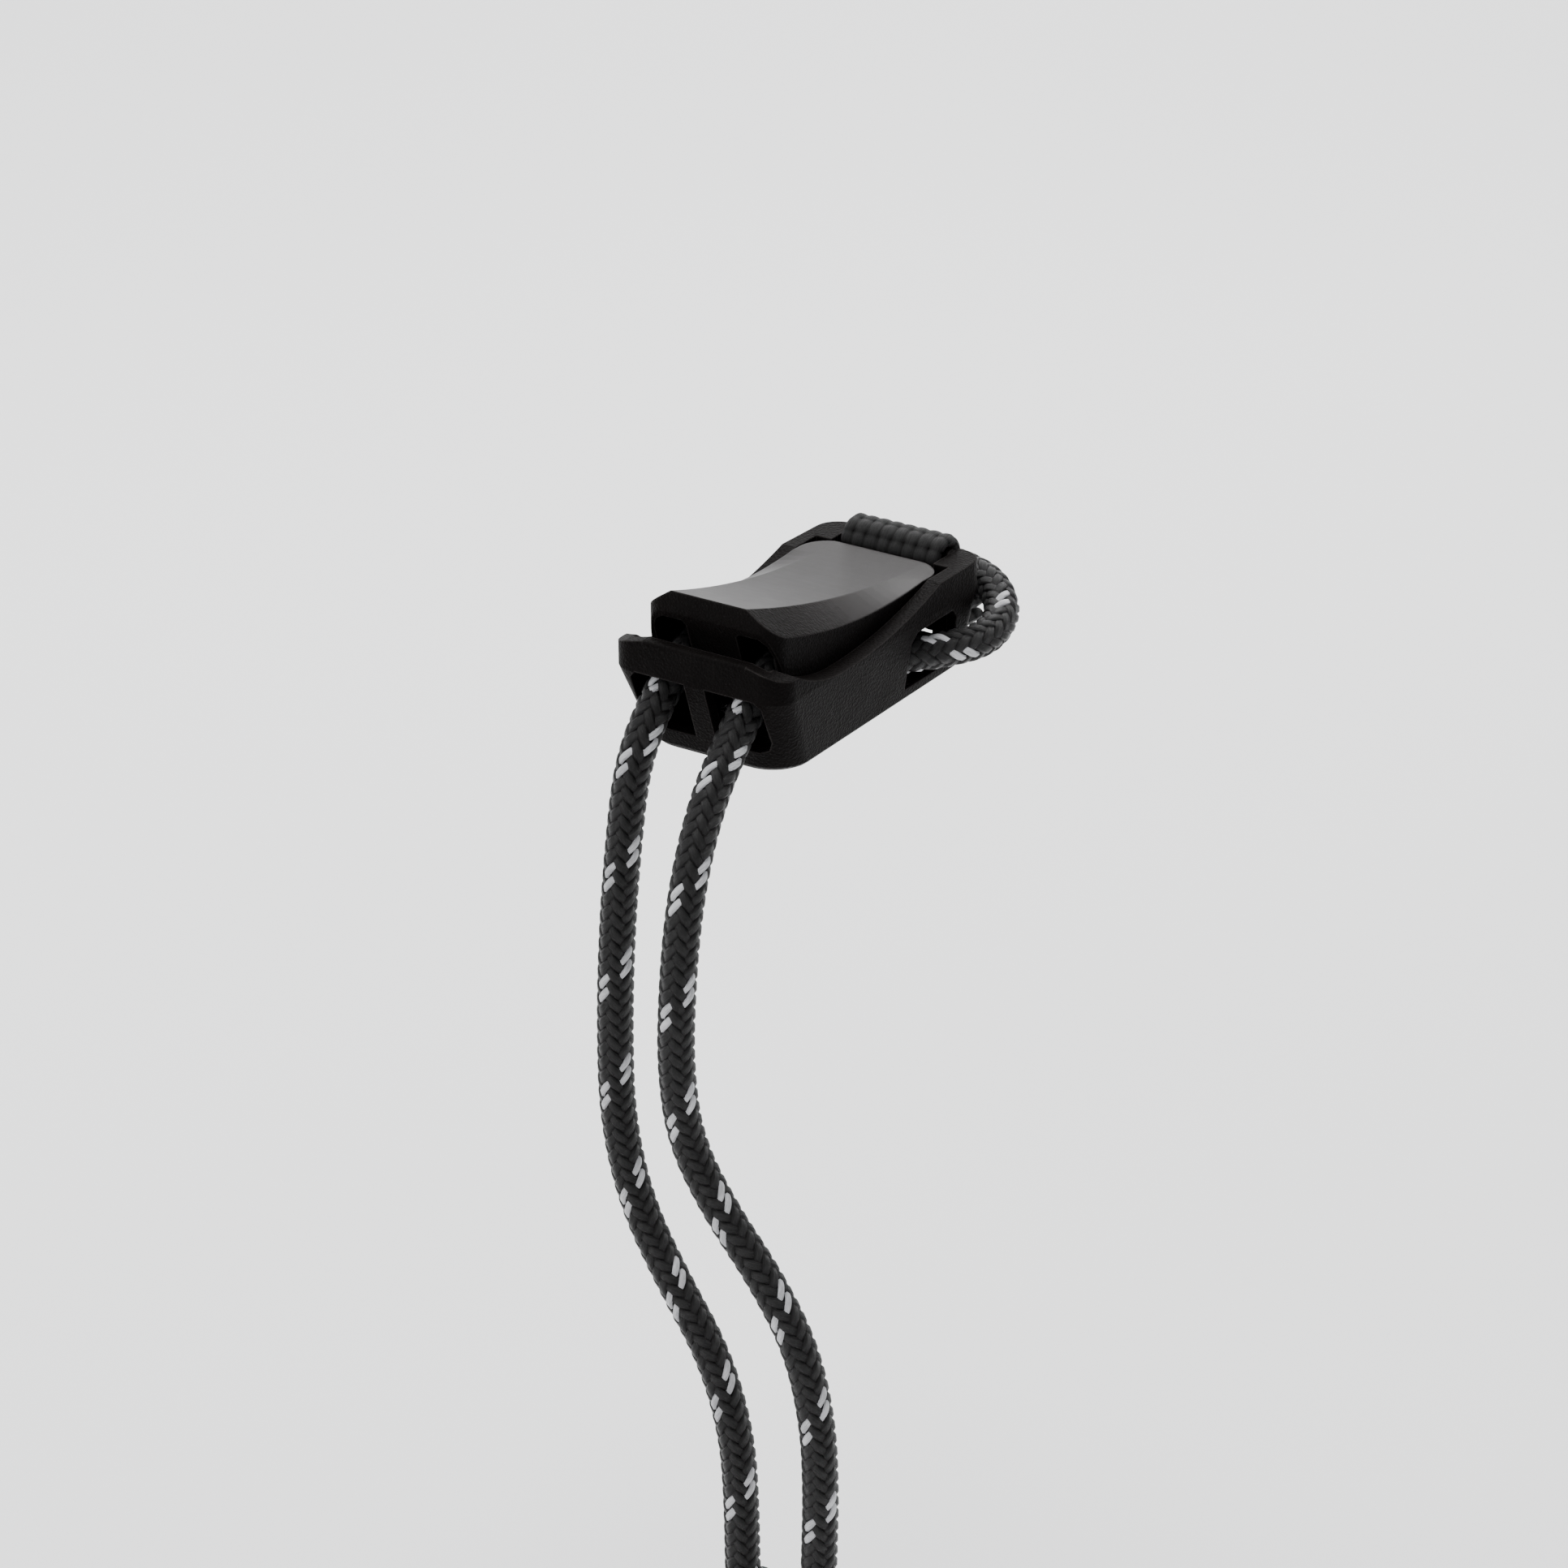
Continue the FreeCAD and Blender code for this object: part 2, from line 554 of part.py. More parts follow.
def lever_hinge(body):
    """Knuckle round the pin and the bore that the pin runs in."""
    knuckle = sketch_on(body, "YZ_Plane", "knuckle_outline")
    circle(knuckle, behind_lip("sizes.pivot_at"), "sizes.pivot_height", "sizes.knuckle_radius")
    extrude(body, "Pad", "knuckle", knuckle, "sizes.inside_width - 2 * sizes.knuckle_clearance", symmetric=True)
    bore = sketch_on(body, "YZ_Plane", "lever_bore_outline")
    circle(bore, behind_lip("sizes.pivot_at"), "sizes.pivot_height",
           "(sizes.pin_diameter / 2 + sizes.pin_clearance)")
    extrude(body, "Pocket", "lever_bore", bore, "sizes.reach", symmetric=True)


def thumb_lever():
    body = new_body("thumb_lever")
    lever_outside(body)
    lever_inside(body)
    lever_block(body)
    lever_skirt(body)
    lever_front(body)
    lever_hinge(body)
    return body


# ---------------------------------------------------------------------------------------------
# Pin and spring


def hinge_pin():
    """Pin pushed in from the left side; its bore ends inside the right wall."""
    pin = doc.addObject("Part::Cylinder", "pin_rod")
    pin.setExpression("Radius", "sizes.pin_diameter / 2")
    pin.setExpression("Height", PIN_HALF + " * 2")
    pin.Placement.Rotation = FreeCAD.Rotation(FreeCAD.Vector(0, 1, 0), 90)
    pin.setExpression("Placement.Base.x", "-" + PIN_HALF)
    pin.setExpression("Placement.Base.y", behind_lip("sizes.pivot_at"))
    pin.setExpression("Placement.Base.z", "sizes.pivot_height")
    doc.recompute()
    ends = doc.addObject("Part::Chamfer", "hinge_pin")
    ends.Label = "hinge_pin"
    ends.Base = pin
    rings = [n for n, edge in enumerate(pin.Shape.Edges, start=1) if edge.Closed and edge.Length > 1]
    ends.Edges = [(n, 0.2, 0.2) for n in rings if len(pin.Shape.Edges[n - 1].Vertexes) == 1]
    return ends


def return_spring():
    """Coil from the tray floor to the roof of the lever's pocket."""
    coil = doc.addObject("Part::Helix", "spring_line")
    rise = "(sizes.spring_pocket_top - sizes.floor_thickness - sizes.spring_wire - 0.06)"
    coil.setExpression("Radius", "sizes.spring_diameter / 2")
    coil.setExpression("Height", rise)
    coil.setExpression("Pitch", rise + " / sizes.spring_turns")
    coil.setExpression("Placement.Base.y", behind_lip("sizes.spring_at"))
    coil.setExpression("Placement.Base.z", "sizes.floor_thickness + sizes.spring_wire / 2 + 0.03")
    wire = doc.addObject("Part::Circle", "spring_section")
    wire.setExpression("Radius", "sizes.spring_wire / 2")
    wire.Placement.Rotation = FreeCAD.Rotation(FreeCAD.Vector(1, 0, 0), 90)
    wire.setExpression("Placement.Base.x", "sizes.spring_diameter / 2")
    wire.setExpression("Placement.Base.y", behind_lip("sizes.spring_at"))
    wire.setExpression("Placement.Base.z", "sizes.floor_thickness + sizes.spring_wire / 2 + 0.03")
    doc.recompute()
    spring = doc.addObject("Part::Sweep", "return_spring")
    spring.Label = "return_spring"
    spring.Sections = [wire]
    spring.Spine = (coil, ["Edge%d" % n for n in range(1, len(coil.Shape.Edges) + 1)])
    spring.Solid = True
    spring.Frenet = True
    return spring


# ---------------------------------------------------------------------------------------------
# Cord and tape


def rounded_route(points, report=None):
    """Wire of straight runs joined by tangent arcs, each as large as its two runs allow."""
    edges = []
    start = points[0]
    for before, corner, after in zip(points, points[1:], points[2:]):
        back = before - corner
        ahead = after - corner
        turn = math.pi - back.getAngle(ahead)
        reach = 0.45 * min(back.Length, ahead.Length)
        radius = reach / math.tan(turn / 2)
        first = corner + back.normalize() * reach
        last = corner + ahead.normalize() * reach
        inward = (back + ahead).normalize()
        crown = corner + inward * (radius / math.cos(turn / 2) - radius)
        edges.append(Part.LineSegment(start, first).toShape())
        edges.append(Part.Arc(first, crown, last).toShape())
        start = last
        if report is not None:
            report.append(radius)
    edges.append(Part.LineSegment(start, points[-1]).toShape())
    return Part.Wire(edges)


def feature(name, shape):
    piece = doc.addObject("Part::Feature", name)
    piece.Label = name
    piece.Shape = shape
    piece.Placement = FreeCAD.Placement()
    return piece


def cord(name, route):
    """Round tube along a route of (across, behind the lip, height) points."""
    front = value(FRONT)
    points = [FreeCAD.Vector(across, front + behind, height) for across, behind, height in route]
    radii = []
    path = rounded_route(points, radii)
    radius = value("sizes.cord_diameter") / 2
    section = Part.Wire([Part.makeCircle(radius, points[0], points[1] - points[0])])
    tube = path.makePipeShell([section], True, False)
    expected = math.pi * radius ** 2 * path.Length
    print("%-12s length %6.1f  radii %s  volume %.3f of expected" % (
        name, path.Length, " ".join("%.1f" % r for r in radii), tube.Volume / expected))
    return feature(name, tube)


# Each cord's points, for the right side; the left side's inner stretch is its mirror image.
INNER_ROUTE = [
    (6.3, 21.9, 3.1), (3.75, 18.3, 3.1), (3.75, 15.2, 3.15), (3.75, 12.6, 3.5), (3.75, 9.7, 5.0),
    (3.75, 5.2, 8.5), (3.75, 0.9, 4.5),
]
TAIL_RIGHT_ROUTE = [
    (3.75, 0.9, 4.5), (3.75, -1.01, 2.72), (4.0, -3.9, 0.0), (4.25, -6.3, -3.6), (4.4, -8.0, -8.2),
    (4.45, -8.9, -13.8), (4.45, -9.2, -19.9), (5.1, -8.9, -26.0), (7.8, -8.3, -31.4),
    (11.4, -7.7, -36.3), (14.4, -7.2, -41.8), (15.8, -7.0, -48.2), (16.0, -6.9, -54.4),
    (15.85, -6.85, -59.6), (15.75, -6.85, -64.4),
]
TAIL_LEFT_ROUTE = [
    (-3.75, 0.9, 4.5), (-3.75, -1.01, 2.72), (-4.3, -2.1, -0.9), (-4.5, -2.9, -6.2), (-4.5, -3.9, -13.0),
    (-4.5, -4.4, -20.6), (-4.2, -4.7, -28.6), (-2.5, -4.7, -35.6), (0.9, -4.7, -41.5),
    (4.6, -4.7, -46.8), (6.7, -4.7, -53.0), (7.25, -4.75, -59.4), (7.3, -4.75, -65.6),
]
LOOP_RIGHT_HALF = [
    (6.3, 21.9, 3.1), (8.2, 24.58, 3.1), (9.0, 27.4, 3.2), (8.5, 30.35, 3.7), (6.7, 32.8, 4.4),
    (4.05, 34.2, 5.0),
]
LOOP_MIDDLE = (0.0, 34.5, 5.3)


def mirrored(route):
    return [(-across, behind, height) for across, behind, height in route]


def cords():
    cord("inner_right", INNER_ROUTE)
    cord("inner_left", mirrored(INNER_ROUTE))
    cord("tail_right", TAIL_RIGHT_ROUTE)
    cord("tail_left", TAIL_LEFT_ROUTE)
    cord("cord_loop", LOOP_RIGHT_HALF + [LOOP_MIDDLE] + mirrored(LOOP_RIGHT_HALF)[::-1])


def stopper(side, end):
    """Knot under a tail's end and the sealed tip that hangs from it."""
    across, behind, height = end
    knot = doc.addObject("Part::Ellipsoid", "knot_" + side)
    knot.Label = "knot_" + side
    knot.setExpression("Radius1", "sizes.knot_height / 2")
    knot.setExpression("Radius2", "sizes.knot_diameter / 2")
    knot.setExpression("Placement.Base.x", "%g" % across)
    knot.setExpression("Placement.Base.y", behind_lip("%g" % behind))
    knot.setExpression("Placement.Base.z", "%g - sizes.knot_height / 2" % height)
    tip = doc.addObject("Part::Cylinder", "tip_" + side)
    tip.Label = "tip_" + side
    tip.setExpression("Radius", "sizes.cord_diameter / 2")
    tip.setExpression("Height", "sizes.tip_length")
    tip.setExpression("Placement.Base.x", "%g" % across)
    tip.setExpression("Placement.Base.y", behind_lip("%g" % behind))
    tip.setExpression("Placement.Base.z", "%g - sizes.knot_height - sizes.tip_length" % height)


def webbing_anchor():
    """Tape folded round the bar, both ends lying together behind the tray."""
    thickness = value("sizes.tape_thickness")
    ring = value("sizes.bar_diameter / 2 + sizes.tape_clearance + sizes.tape_thickness / 2")
    centre_y = value(behind_lip("sizes.bar_at"))
    centre_z = value("sizes.bar_height")
    end_y = value("sizes.base_length / 2 + sizes.tape_tail")
    low_z = value("sizes.floor_thickness + 0.15") + thickness / 2
    high_z = low_z + thickness + 0.06

    def place(y, z):
        return FreeCAD.Vector(-value("sizes.tape_width / 2"), y, z)

    under = [place(end_y, low_z), place(centre_y + 0.6, low_z), place(centre_y - ring, low_z + 1.9),
             place(centre_y - ring, centre_z)]
    over = [place(centre_y + ring, centre_z), place(centre_y + ring, high_z + 1.5),
            place(centre_y + ring + 1.6, high_z), place(end_y, high_z)]
    lower = rounded_route(under)
    fold = Part.Arc(under[-1], place(centre_y, centre_z + ring), over[0]).toShape()
    upper = rounded_route(over)
    path = Part.Wire(lower.Edges + [fold] + upper.Edges)
    start = under[0]
    half = FreeCAD.Vector(0, 0, thickness / 2)
    width = FreeCAD.Vector(value("sizes.tape_width"), 0, 0)
    section = Part.makePolygon([start - half, start + half, start + half + width, start - half + width,
                                start - half])
    feature("webbing_anchor", path.makePipeShell([section], True, False))


def bar_tack():
    """Dense stitching that holds the two layers of tape together, seen on both faces."""
    for name, height in (("tack_below", "sizes.floor_thickness"),
                         ("tack_above", "sizes.floor_thickness + 0.21 + sizes.tape_thickness * 2")):
        row = doc.addObject("Part::Box", name)
        row.setExpression("Length", "sizes.tape_width - 2.2")
        row.setExpression("Width", "0.9")
        row.setExpression("Height", "0.15")
        row.setExpression("Placement.Base.x", "-(sizes.tape_width - 2.2) / 2")
        row.setExpression("Placement.Base.y", "sizes.base_length / 2 + sizes.tape_tail - 1.1")
        row.setExpression("Placement.Base.z", height)
    tack = doc.addObject("Part::Compound", "bar_tack")
    tack.Label = "bar_tack"
    tack.Links = [doc.getObject("tack_below"), doc.getObject("tack_above")]


# ---------------------------------------------------------------------------------------------

base_housing()
thumb_lever()
hinge_pin()
return_spring()
cords()
stopper("right", TAIL_RIGHT_ROUTE[-1])
stopper("left", TAIL_LEFT_ROUTE[-1])
webbing_anchor()
bar_tack()
doc.recompute()

NODES = [
    "base_housing", "thumb_lever", "hinge_pin", "return_spring", "webbing_anchor", "bar_tack",
    "inner_right", "inner_left", "tail_right", "tail_left", "cord_loop",
    "knot_right", "knot_left", "tip_right", "tip_left",
]

faults = [o.Name for o in doc.Objects if "Invalid" in o.State or "Error" in o.State]
if faults:
    raise RuntimeError("failed objects: " + ", ".join(faults))
os.makedirs("parts", exist_ok=True)
for node in NODES:
    piece = doc.getObjectsByLabel(node)[0]
    shape = piece.Shape
    if shape.isNull() or not shape.isValid():
        raise RuntimeError(node + " has no valid shape")
    shape.exportStep("parts/%s.step" % node)
    print("%-15s solids %d  volume %9.3f" % (node, len(shape.Solids), shape.Volume))
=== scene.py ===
import math

import bmesh
import bpy
import numpy as np
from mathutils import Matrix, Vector


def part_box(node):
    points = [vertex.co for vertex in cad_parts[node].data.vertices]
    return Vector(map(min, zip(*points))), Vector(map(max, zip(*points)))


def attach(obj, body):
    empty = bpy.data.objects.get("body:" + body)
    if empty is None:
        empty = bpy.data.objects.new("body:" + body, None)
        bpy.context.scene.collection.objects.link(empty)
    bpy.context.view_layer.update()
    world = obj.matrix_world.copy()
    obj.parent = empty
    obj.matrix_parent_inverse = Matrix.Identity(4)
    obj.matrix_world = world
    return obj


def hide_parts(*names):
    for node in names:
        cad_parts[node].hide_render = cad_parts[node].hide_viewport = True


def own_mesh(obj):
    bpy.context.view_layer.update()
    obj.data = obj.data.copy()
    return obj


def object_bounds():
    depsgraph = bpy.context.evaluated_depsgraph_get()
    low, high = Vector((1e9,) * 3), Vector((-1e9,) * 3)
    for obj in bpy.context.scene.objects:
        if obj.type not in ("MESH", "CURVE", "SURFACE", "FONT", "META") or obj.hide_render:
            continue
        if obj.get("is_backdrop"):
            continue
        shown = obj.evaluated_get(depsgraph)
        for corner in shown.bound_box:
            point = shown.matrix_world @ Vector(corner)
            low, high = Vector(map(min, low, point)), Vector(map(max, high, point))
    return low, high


MM = 0.001
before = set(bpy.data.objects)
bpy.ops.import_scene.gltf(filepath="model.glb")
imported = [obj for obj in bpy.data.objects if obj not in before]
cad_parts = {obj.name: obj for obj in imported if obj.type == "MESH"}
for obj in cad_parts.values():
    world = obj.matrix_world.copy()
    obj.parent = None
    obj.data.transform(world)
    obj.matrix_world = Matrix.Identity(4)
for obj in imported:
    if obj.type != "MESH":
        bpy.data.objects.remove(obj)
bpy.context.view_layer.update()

# The lip's plane: every route below is given across, behind this plane, and up, in millimetres.
HOUSING_LOW, HOUSING_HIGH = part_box("base_housing")
LIP_Y = HOUSING_LOW[1]

# Cord, as the CAD has it, and its braid: strands each way, and the length of one full turn.
CORD_RADIUS = 1.45 * MM
STRANDS_EACH_WAY = 8
BRAID_PITCH = 8.9 * MM
STRAND_HALF_WIDTH = 0.43 * MM
STRAND_HALF_THICKNESS = 0.23 * MM
STRAND_RISE = 0.15 * MM
REFLECTIVE_STRANDS = (3, 4)
REFLECTIVE_SLIMMER = 0.72
STRAND_CORNERS = 6
BRAID_STEP = 0.17 * MM
STRAND_APART = 7.3  # between strands in the fibre texture, so that no two look the same

INNER_ROUTE = [
    (6.3, 21.9, 3.1), (3.75, 18.3, 3.1), (3.75, 15.2, 3.15), (3.75, 12.6, 3.5), (3.75, 9.7, 5.0),
    (3.75, 5.2, 8.5), (3.75, 0.9, 4.5),
]
TAIL_RIGHT_ROUTE = [
    (3.75, 0.9, 4.5), (3.75, -1.01, 2.72), (4.0, -3.9, 0.0), (4.25, -6.3, -3.6), (4.4, -8.0, -8.2),
    (4.45, -8.9, -13.8), (4.45, -9.2, -19.9), (5.1, -8.9, -26.0), (7.8, -8.3, -31.4),
    (11.4, -7.7, -36.3), (14.4, -7.2, -41.8), (15.8, -7.0, -48.2), (16.0, -6.9, -54.4),
    (15.85, -6.85, -59.6), (15.75, -6.85, -64.4),
]
TAIL_LEFT_ROUTE = [
    (-3.75, 0.9, 4.5), (-3.75, -1.01, 2.72), (-4.3, -2.1, -0.9), (-4.5, -2.9, -6.2), (-4.5, -3.9, -13.0),
    (-4.5, -4.4, -20.6), (-4.2, -4.7, -28.6), (-2.5, -4.7, -35.6), (0.9, -4.7, -41.5),
    (4.6, -4.7, -46.8), (6.7, -4.7, -53.0), (7.25, -4.75, -59.4), (7.3, -4.75, -65.6),
]
LOOP_RIGHT_HALF = [
    (6.3, 21.9, 3.1), (8.2, 24.58, 3.1), (9.0, 27.4, 3.2), (8.5, 30.35, 3.7), (6.7, 32.8, 4.4),
    (4.05, 34.2, 5.0),
]
LOOP_MIDDLE = (0.0, 34.5, 5.3)


def mirrored(route):
    return [(-across, behind, height) for across, behind, height in route]


# ---------------------------------------------------------------------------------------------
# Materials


class Nodes:
    """Short helper that adds nodes to a material and links them."""

    def __init__(self, name):
        self.material = bpy.data.materials.new(name)
        self.material.use_nodes = True
        self.tree = self.material.node_tree
        self.tree.nodes.clear()
        self.output = self.tree.nodes.new("ShaderNodeOutputMaterial")
        self.shader = self.tree.nodes.new("ShaderNodeBsdfPrincipled")
        self.link(self.shader.outputs[0], self.output.inputs[0])

    def link(self, source, target):
        self.tree.links.new(source, target)

    def set(self, socket, value):
        """Value or link for one input of the main shader."""
        if isinstance(value, bpy.types.NodeSocket):
            self.link(value, self.shader.inputs[socket])
        else:
            self.shader.inputs[socket].default_value = value

    def place(self):
        return self.tree.nodes.new("ShaderNodeTexCoord").outputs["Object"]

    def noise(self, scale, detail=3.0, vector=None, roughness=0.6):
        node = self.tree.nodes.new("ShaderNodeTexNoise")
        node.inputs["Scale"].default_value = scale
        node.inputs["Detail"].default_value = detail
        node.inputs["Roughness"].default_value = roughness
        self.link(vector or self.place(), node.inputs["Vector"])
        return node.outputs["Fac"]

    def cells(self, scale):
        node = self.tree.nodes.new("ShaderNodeTexVoronoi")
        node.inputs["Scale"].default_value = scale
        self.link(self.place(), node.inputs["Vector"])
        return node.outputs["Distance"]

    def ramp(self, factor, *stops):
        """Colour ramp; stops are (place, grey or colour)."""
        node = self.tree.nodes.new("ShaderNodeValToRGB")
        while len(node.color_ramp.elements) < len(stops):
            node.color_ramp.elements.new(1.0)
        for element, (place, tone) in zip(node.color_ramp.elements, stops):
            element.position = place
            element.color = (tone, tone, tone, 1) if isinstance(tone, float) else (*tone, 1)
        self.link(factor, node.inputs["Fac"])
        return node.outputs["Color"]

    def math(self, operation, a, b=0.0):
        node = self.tree.nodes.new("ShaderNodeMath")
        node.operation = operation
        for socket, value in zip(node.inputs, (a, b)):
            if isinstance(value, bpy.types.NodeSocket):
                self.link(value, socket)
            else:
                socket.default_value = value
        return node.outputs[0]

    def mix(self, factor, a, b):
        """Blend of two colours or links."""
        node = self.tree.nodes.new("ShaderNodeMix")
        node.data_type = "RGBA"
        self.link(factor, node.inputs["Factor"])
        for socket, value in ((node.inputs[6], a), (node.inputs[7], b)):
            if isinstance(value, bpy.types.NodeSocket):
                self.link(value, socket)
            else:
                socket.default_value = (*value, 1)
        return node.outputs[2]

    def bump(self, height, distance, strength=1.0, under=None):
        node = self.tree.nodes.new("ShaderNodeBump")
        node.inputs["Strength"].default_value = strength
        node.inputs["Distance"].default_value = distance
        self.link(height, node.inputs["Height"])
        if under is not None:
            self.link(under, node.inputs["Normal"])
        return node.outputs["Normal"]

    def rounded_edges(self, radius):
        node = self.tree.nodes.new("ShaderNodeBevel")
        node.samples = 6
        node.inputs["Radius"].default_value = radius
        return node.outputs["Normal"]

    def edge_mask(self, rounded):
        """1 on an edge and 0 on a flat: how far the rounded normal leans from the true one."""
        lean = self.tree.nodes.new("ShaderNodeVectorMath")
        lean.operation = "DOT_PRODUCT"
        self.link(rounded, lean.inputs[0])
        self.link(self.tree.nodes.new("ShaderNodeNewGeometry").outputs["True Normal"], lean.inputs[1])
        return self.ramp(self.math("SUBTRACT", 1.0, lean.outputs["Value"]), (0.015, 0.0), (0.2, 1.0))

    def attribute(self, name):
        node = self.tree.nodes.new("ShaderNodeAttribute")
        node.attribute_name = name
        return node


# Colours are linear.
PLASTIC_DARK, PLASTIC_LIGHT = (0.0026, 0.0021, 0.002), (0.0046, 0.0038, 0.0036)
# Thumb colours: a painted sheen, the up-facing thumb surface painted paler as if lit from above.
THUMB_SHEEN_DARK, THUMB_SHEEN_LIGHT = (0.012, 0.0103, 0.0102), (0.016, 0.0138, 0.0136)
# Paler colour painted along every edge: a painted highlight.
PAINTED_EDGE_HIGHLIGHT = (0.030, 0.027, 0.0262)
DUST = (0.30, 0.28, 0.26)
EDGE_ROUND = 0.22 * MM
GRAIN_DEPTH = 0.07 * MM
THUMB_GRAIN_DEPTH = 0.02 * MM
FIBRE_DEPTH = 0.09 * MM


def moulded_plastic(name, rough, thumb=False):
    """Charcoal moulding with a fine spark-eroded grain, painted highlights along its edges and a little
    dust.

    With thumb, what faces up is smoother, and its colour is painted paler there, a painted sheen from the
    light above, as on the lever's thumb surface.
    """
    m = Nodes(name)
    edges = m.rounded_edges(EDGE_ROUND)
    grain = m.math("ADD", m.cells(4300.0), m.noise(7000.0, 2.0))
    cloud = m.noise(260.0, 4.0)
    colour = m.ramp(cloud, (0.3, PLASTIC_DARK), (0.75, PLASTIC_LIGHT))
    roughness = m.ramp(cloud, (0.2, rough - 0.05), (0.8, rough + 0.06))
    normal = m.bump(grain, GRAIN_DEPTH, 0.7, edges)
    specular = 0.02
    if thumb:
        facing = m.tree.nodes.new("ShaderNodeNewGeometry").outputs["Normal"]
        split = m.tree.nodes.new("ShaderNodeSeparateXYZ")
        m.link(facing, split.inputs[0])
        top = m.ramp(split.outputs["Z"], (0.80, 0.0), (0.87, 1.0))
        fine = m.bump(m.noise(9000.0, 2.0), THUMB_GRAIN_DEPTH, 0.35, edges)
        blend = m.tree.nodes.new("ShaderNodeMix")
        blend.data_type = "VECTOR"
        m.link(top, blend.inputs["Factor"])
        m.link(normal, blend.inputs[4])
        m.link(fine, blend.inputs[5])
        normal = blend.outputs[1]
        # Painted sheen: where the surface faces up, the colour is painted paler.
        colour = m.mix(top, colour, m.ramp(cloud, (0.3, THUMB_SHEEN_DARK), (0.8, THUMB_SHEEN_LIGHT)))
        roughness = m.mix(top, roughness, m.ramp(cloud, (0.2, 0.36), (0.8, 0.43)))
        specular = m.math("ADD", m.math("MULTIPLY", top, 0.07), 0.025)
    specks = m.ramp(m.cells(900.0), (0.0, 1.0), (0.035, 0.0))
    sparse = m.ramp(m.noise(420.0, 1.0), (0.63, 0.0), (0.66, 1.0))
    dust = m.math("MULTIPLY", specks, sparse)
    # Painted highlight: the colour turns paler where the rounded normal leans from the true one, along
    # every edge.
    edge_highlighted = m.mix(m.edge_mask(edges), colour, PAINTED_EDGE_HIGHLIGHT)
    m.set("Base Color", m.mix(dust, edge_highlighted, DUST))
    m.set("Roughness", roughness)
    m.set("Normal", normal)
    m.set("Specular IOR Level", specular)
    return m.material


def steel(name, tone, rough):
    """Bright drawn steel with faint scratches."""
    m = Nodes(name)
    m.set("Base Color", m.ramp(m.noise(900.0), (0.3, tone * 0.8), (0.8, tone)))
    m.set("Metallic", 1.0)
    m.set("Roughness", m.ramp(m.noise(2500.0), (0.3, rough), (0.8, rough + 0.12)))
    m.set("Normal", m.bump(m.noise(6000.0), 0.004 * MM, 0.5))
    return m.material


def yarn(name, dark, light, rough, sheen):
    """Filament yarn: fine fibres along each strand, from the strand's own coordinates.

    The mesh attribute rise is high where a strand passes over its neighbours; where it is low, in the pits
    and under the strands, the colour is painted darker and the reflection weaker, a painted shade.
    """
    m = Nodes(name)
    along = m.attribute("strand")
    stretch = m.tree.nodes.new("ShaderNodeMapping")
    stretch.inputs["Scale"].default_value = (0.5, 7.0, 1.0)
    m.link(along.outputs["Vector"], stretch.inputs["Vector"])
    fibres = m.noise(1.6, 4.0, stretch.outputs["Vector"], 0.7)
    patches = m.noise(420.0, 3.0)
    tone = m.math("ADD", m.math("MULTIPLY", fibres, 0.7), m.math("MULTIPLY", patches, 0.3))
    # Painted shade in the pits: where rise is low the colour turns to a quarter of the dark tone.
    out_of_pit_shade = m.ramp(m.attribute("rise").outputs["Fac"], (0.15, 0.0), (0.75, 1.0))
    painted_pit_shade = tuple(0.25 * part for part in dark)
    m.set("Base Color", m.mix(out_of_pit_shade, painted_pit_shade, m.ramp(tone, (0.42, dark), (0.6, light))))
    m.set("Roughness", m.ramp(fibres, (0.3, rough + 0.15), (0.7, rough)))
    m.set("Normal", m.bump(fibres, FIBRE_DEPTH, 1.0))
    m.set("Specular IOR Level", m.math("MULTIPLY", out_of_pit_shade, 0.26))
    m.set("Sheen Weight", sheen)
    m.set("Sheen Roughness", 0.4)
    m.set("Sheen Tint", (0.6, 0.6, 0.62, 1))
    return m.material


def melted():
    """Cord end that was cut hot: glossy, lumpy and nearly black."""
    m = Nodes("melted_end")
    lumps = m.noise(1300.0, 3.0)
    m.set("Base Color", m.ramp(lumps, (0.3, 0.012), (0.8, 0.03)))
    m.set("Roughness", m.ramp(lumps, (0.3, 0.22), (0.8, 0.45)))
    m.set("Normal", m.bump(lumps, 0.12 * MM, 0.7))
    return m.material


HOUSING_PLASTIC = moulded_plastic("housing_plastic", 0.48)
LEVER_PLASTIC = moulded_plastic("lever_plastic", 0.46, thumb=True)
PIN_STEEL = steel("pin_steel", 0.55, 0.3)
SPRING_STEEL = steel("spring_steel", 0.5, 0.25)
BLACK_YARN = yarn("black_yarn", (0.001, 0.0009, 0.0009), (0.0095, 0.0088, 0.0088), 0.33, 0.0)
REFLECTIVE_YARN = yarn("reflective_yarn", (0.36, 0.36, 0.37), (0.72, 0.72, 0.74), 0.36, 0.1)
TAPE_YARN = yarn("tape_yarn", (0.0013, 0.0012, 0.0012), (0.0085, 0.0078, 0.0077), 0.5, 0.0)
MELTED_END = melted()


# ---------------------------------------------------------------------------------------------
# Meshes


def new_object(name, vertices, faces, materials, material_of_face=None, strand=None, rise=None):
    """Smooth mesh object; strand and rise are the vertex attributes that yarn() reads."""
    mesh = bpy.data.meshes.new(name)
    mesh.from_pydata([tuple(v) for v in vertices], [], faces)
    for material in materials:
        mesh.materials.append(material)
    if material_of_face is not None:
        mesh.polygons.foreach_set("material_index", material_of_face)
    if strand is not None:
        attribute = mesh.attributes.new("strand", "FLOAT_VECTOR", "POINT")
        attribute.data.foreach_set("vector", np.asarray(strand, dtype=float).ravel())
    if rise is not None:
        attribute = mesh.attributes.new("rise", "FLOAT", "POINT")
        attribute.data.foreach_set("value", np.asarray(rise, dtype=float))
    mesh.polygons.foreach_set("use_smooth", [True] * len(mesh.polygons))
    mesh.update()
    piece = bpy.data.objects.new(name, mesh)
    bpy.context.scene.collection.objects.link(piece)
    return piece


